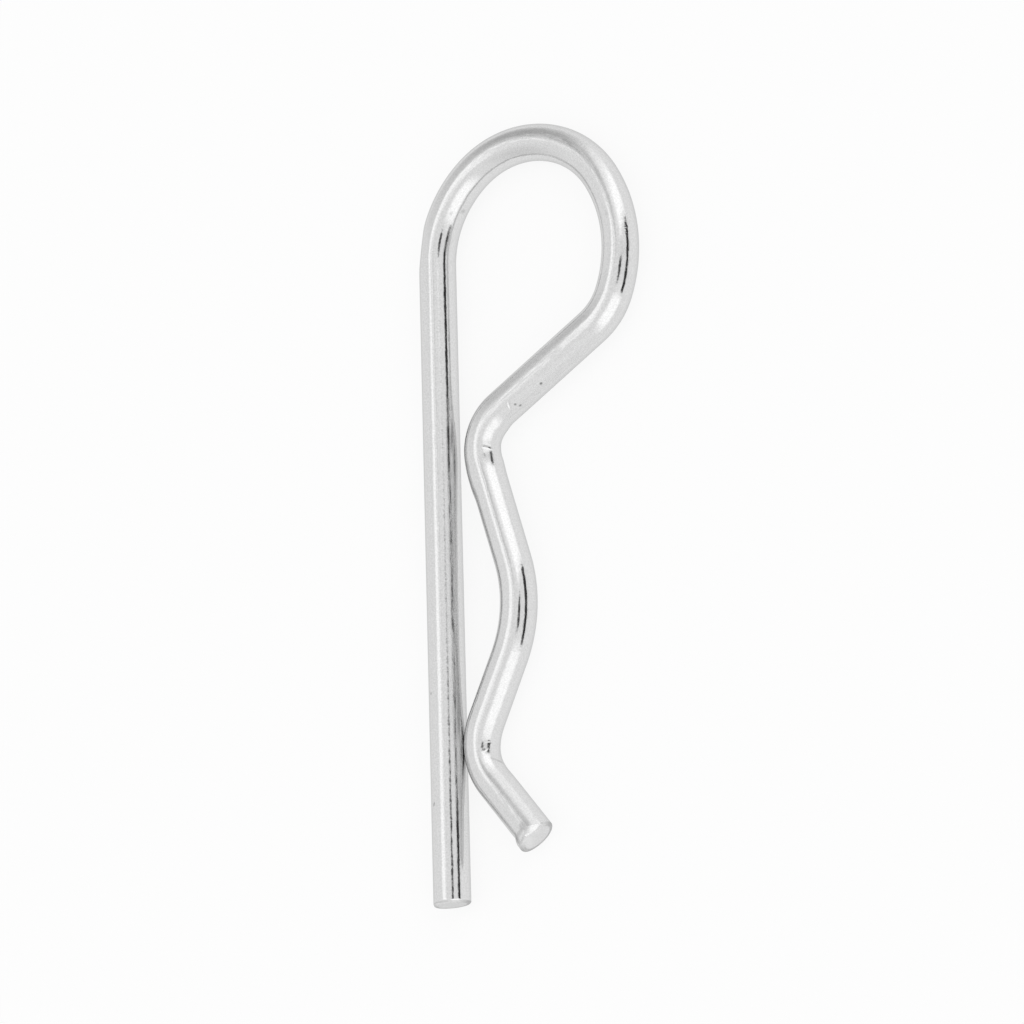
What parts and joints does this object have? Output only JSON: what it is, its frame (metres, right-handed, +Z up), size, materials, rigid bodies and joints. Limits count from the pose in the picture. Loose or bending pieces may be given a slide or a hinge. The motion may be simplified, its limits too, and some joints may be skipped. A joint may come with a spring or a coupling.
{
  "type": "r clip",
  "caption": "Spring clip bent from round wire: its straight leg passes through a cross hole and its sprung arm hugs the shaft, which keeps a pin from sliding out.",
  "frame": {"origin": "on the surface that the clip lies on, under the middle of its outline", "axes": "+Y along the leg towards the eye, +X from the leg towards the arm, +Z up, across the plane that the wire is bent in"},
  "size_m": [0.026, 0.0838, 0.004],
  "materials": {
    "bright_zinc": "bright zinc plating on drawn spring steel wire, glossy, lightly mottled along the wire"
  },
  "bodies": {
    "root": {"r_clip_wire": "bright_zinc"}
  },
  "joints": []
}
